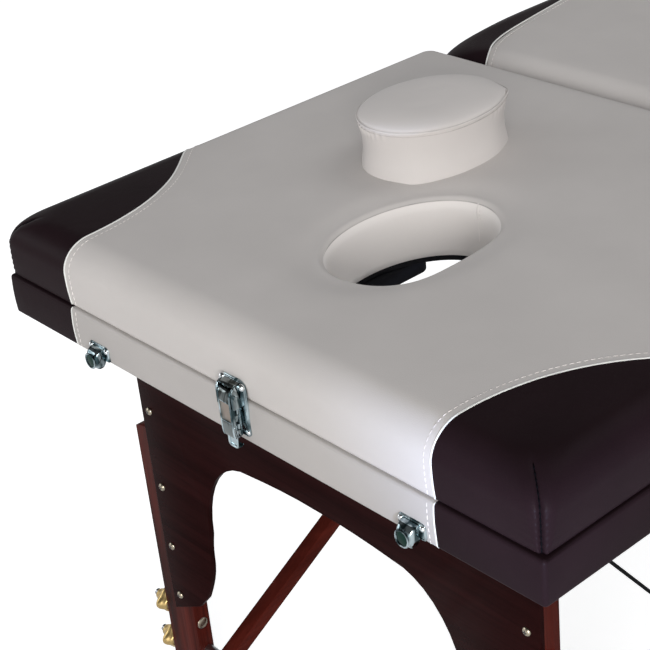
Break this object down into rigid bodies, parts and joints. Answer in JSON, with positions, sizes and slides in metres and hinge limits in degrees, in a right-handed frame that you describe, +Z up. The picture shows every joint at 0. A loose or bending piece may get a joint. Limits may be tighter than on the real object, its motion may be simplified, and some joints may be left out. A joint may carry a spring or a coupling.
{
  "type": "massage table",
  "caption": "Folding massage table with padded top, face hole, lifting back section, arched end panels and extending wooden legs.",
  "frame": {"origin": "middle of the bounding box, on the floor under the leg tips", "axes": "+Y runs along the table from the end with the face hole to the other end, +X is the right side seen from the end with the face hole, +Z is up"},
  "size_m": [0.706, 1.8812, 0.6713],
  "materials": {
    "beige_vinyl": "grained vinyl over foam, dark brown at the corners and along the sides",
    "cream_vinyl": "grained vinyl over foam",
    "board": "matt black board",
    "ply": "plain",
    "mahogany": "satin lacquer",
    "redwood": "satin lacquer",
    "steel": "plain",
    "chrome": "polished",
    "brass": "satin",
    "rubber": "matt"
  },
  "bodies": {
    "head_frame": {"head_end_rail": "beige_vinyl", "head_rails": "beige_vinyl", "head_ledges": "ply", "prop_ladders": "steel", "head_deck": "board", "head_cushion": "beige_vinyl", "backrest_hinge": "steel", "head_leg_rod": "steel", "head_brackets": "steel", "head_cables": "steel", "latch_base": "chrome", "locators": "chrome", "mid_hinge_head": "steel"},
    "backrest": {"backrest_board": "board", "backrest_battens": "ply", "backrest_cushion": "beige_vinyl", "backrest_heel": "beige_vinyl", "backrest_leaf": "steel", "prop_ears": "steel"},
    "backrest_prop": {"backrest_prop": "steel"},
    "hole_plug": {"hole_plug": "cream_vinyl"},
    "latch_lever": {"latch_lever": "chrome"},
    "latch_claw": {"latch_claw": "chrome"},
    "head_legs": {"head_posts": "mahogany", "head_arch_panel": "mahogany", "head_leg_fasteners": "steel"},
    "head_brace_lower": {"head_brace_lower": "redwood", "head_knee_bolts": "steel"},
    "head_brace_upper": {"head_brace_upper": "redwood"},
    "foot_frame": {"foot_end_rail": "beige_vinyl", "foot_rails": "beige_vinyl", "foot_deck": "board", "foot_cushion": "beige_vinyl", "foot_leg_rod": "steel", "foot_brackets": "steel", "foot_cables": "steel", "latch_keeper": "chrome", "mid_hinge_foot": "steel"},
    "foot_legs": {"foot_posts": "mahogany", "foot_arch_panel": "mahogany", "foot_leg_fasteners": "steel"},
    "foot_brace_lower": {"foot_brace_lower": "redwood", "foot_knee_bolts": "steel"},
    "foot_brace_upper": {"foot_brace_upper": "redwood"},
    "head_left_extension": {"head_left_extension": "mahogany", "head_left_tip": "rubber"},
    "head_left_knob_upper": {"head_left_knob_upper": "brass"},
    "head_left_knob_lower": {"head_left_knob_lower": "brass"},
    "head_right_extension": {"head_right_extension": "mahogany", "head_right_tip": "rubber"},
    "head_right_knob_upper": {"head_right_knob_upper": "brass"},
    "head_right_knob_lower": {"head_right_knob_lower": "brass"},
    "foot_left_extension": {"foot_left_extension": "mahogany", "foot_left_tip": "rubber"},
    "foot_left_knob_upper": {"foot_left_knob_upper": "brass"},
    "foot_left_knob_lower": {"foot_left_knob_lower": "brass"},
    "foot_right_extension": {"foot_right_extension": "mahogany", "foot_right_tip": "rubber"},
    "foot_right_knob_upper": {"foot_right_knob_upper": "brass"},
    "foot_right_knob_lower": {"foot_right_knob_lower": "brass"}
  },
  "joints": [
    {"name": "table_fold", "type": "hinge", "parent": "head_frame", "child": "foot_frame", "pos_m": [0, 0.00295, 0.498], "axis": [-1, 0, 0], "range_deg": [0, 180]},
    {"name": "head_legs_fold", "type": "hinge", "parent": "head_frame", "child": "head_legs", "pos_m": [0, -0.83855, 0.518], "axis": [1, 0, 0], "range_deg": [0, 90]},
    {"name": "foot_legs_fold", "type": "hinge", "parent": "foot_frame", "child": "foot_legs", "pos_m": [0, 0.84445, 0.518], "axis": [-1, 0, 0], "range_deg": [0, 90]},
    {"name": "head_brace_lower_fold", "type": "hinge", "parent": "head_legs", "child": "head_brace_lower", "pos_m": [0, -0.83355, 0.069], "axis": [1, 0, 0], "range_deg": [0, 57.42]},
    {"name": "foot_brace_lower_fold", "type": "hinge", "parent": "foot_legs", "child": "foot_brace_lower", "pos_m": [0, 0.83945, 0.069], "axis": [-1, 0, 0], "range_deg": [0, 57.42]},
    {"name": "head_brace_upper_fold", "type": "hinge", "parent": "head_frame", "child": "head_brace_upper", "pos_m": [0, -0.04205, 0.53375], "axis": [-1, 0, 0], "range_deg": [0, 30.42], "deforming": ["head_cables"]},
    {"name": "foot_brace_upper_fold", "type": "hinge", "parent": "foot_frame", "child": "foot_brace_upper", "pos_m": [0, 0.04795, 0.53375], "axis": [1, 0, 0], "range_deg": [0, 30.42], "deforming": ["foot_cables"]},
    {"name": "backrest_lift", "type": "hinge", "parent": "head_frame", "child": "backrest", "pos_m": [0, -0.33705, 0.547], "axis": [-1, 0, 0], "range_deg": [0, 70], "deforming": ["backrest_heel"]},
    {"name": "backrest_prop_swing", "type": "hinge", "parent": "backrest", "child": "backrest_prop", "pos_m": [0, -0.58705, 0.539], "axis": [1, 0, 0], "range_deg": [0, 145.36]},
    {"name": "plug_lift", "type": "slide", "parent": "backrest", "child": "hole_plug", "axis": [0, 0, 1], "range_m": [0, 0.15]},
    {"name": "latch_lever_swing", "type": "hinge", "parent": "head_frame", "child": "latch_lever", "pos_m": [0, -0.93605, 0.5545], "axis": [-1, 0, 0], "range_deg": [0, 120]},
    {"name": "latch_claw_swing", "type": "hinge", "parent": "latch_lever", "child": "latch_claw", "pos_m": [0, -0.93635, 0.532], "axis": [1, 0, 0], "range_deg": [0, 120]},
    {"name": "head_left_extension_slide", "type": "slide", "parent": "head_legs", "child": "head_left_extension", "axis": [0, 0, -1], "range_m": [0, 0.23]},
    {"name": "head_left_knob_upper_turn", "type": "hinge", "parent": "head_legs", "child": "head_left_knob_upper", "pos_m": [-0.3136, -0.83555, 0.107], "axis": [1, 0, 0], "continuous": true},
    {"name": "head_left_knob_lower_turn", "type": "hinge", "parent": "head_legs", "child": "head_left_knob_lower", "pos_m": [-0.3136, -0.83555, 0.055], "axis": [1, 0, 0], "continuous": true},
    {"name": "head_right_extension_slide", "type": "slide", "parent": "head_legs", "child": "head_right_extension", "axis": [0, 0, -1], "range_m": [0, 0.23]},
    {"name": "head_right_knob_upper_turn", "type": "hinge", "parent": "head_legs", "child": "head_right_knob_upper", "pos_m": [0.3136, -0.83555, 0.107], "axis": [1, 0, 0], "continuous": true},
    {"name": "head_right_knob_lower_turn", "type": "hinge", "parent": "head_legs", "child": "head_right_knob_lower", "pos_m": [0.3136, -0.83555, 0.055], "axis": [1, 0, 0], "continuous": true},
    {"name": "foot_left_extension_slide", "type": "slide", "parent": "foot_legs", "child": "foot_left_extension", "axis": [0, 0, -1], "range_m": [0, 0.23]},
    {"name": "foot_left_knob_upper_turn", "type": "hinge", "parent": "foot_legs", "child": "foot_left_knob_upper", "pos_m": [-0.2853, 0.84145, 0.175], "axis": [1, 0, 0], "continuous": true},
    {"name": "foot_left_knob_lower_turn", "type": "hinge", "parent": "foot_legs", "child": "foot_left_knob_lower", "pos_m": [-0.2853, 0.84145, 0.119], "axis": [1, 0, 0], "continuous": true},
    {"name": "foot_right_extension_slide", "type": "slide", "parent": "foot_legs", "child": "foot_right_extension", "axis": [0, 0, -1], "range_m": [0, 0.23]},
    {"name": "foot_right_knob_upper_turn", "type": "hinge", "parent": "foot_legs", "child": "foot_right_knob_upper", "pos_m": [0.2853, 0.84145, 0.175], "axis": [1, 0, 0], "continuous": true},
    {"name": "foot_right_knob_lower_turn", "type": "hinge", "parent": "foot_legs", "child": "foot_right_knob_lower", "pos_m": [0.2853, 0.84145, 0.119], "axis": [1, 0, 0], "continuous": true}
  ],
  "couplings": [
    {"joint": "head_legs_fold", "follows": "table_fold", "ratio": 0.5},
    {"joint": "foot_legs_fold", "follows": "table_fold", "ratio": 0.5},
    {"joint": "head_brace_lower_fold", "follows": "table_fold", "ratio": 0.319},
    {"joint": "foot_brace_lower_fold", "follows": "table_fold", "ratio": 0.319},
    {"joint": "head_brace_upper_fold", "follows": "table_fold", "ratio": 0.169},
    {"joint": "foot_brace_upper_fold", "follows": "table_fold", "ratio": 0.169},
    {"joint": "backrest_prop_swing", "follows": "backrest_lift", "ratio": 2.0766},
    {"joint": "latch_claw_swing", "follows": "latch_lever_swing", "ratio": 1}
  ]
}
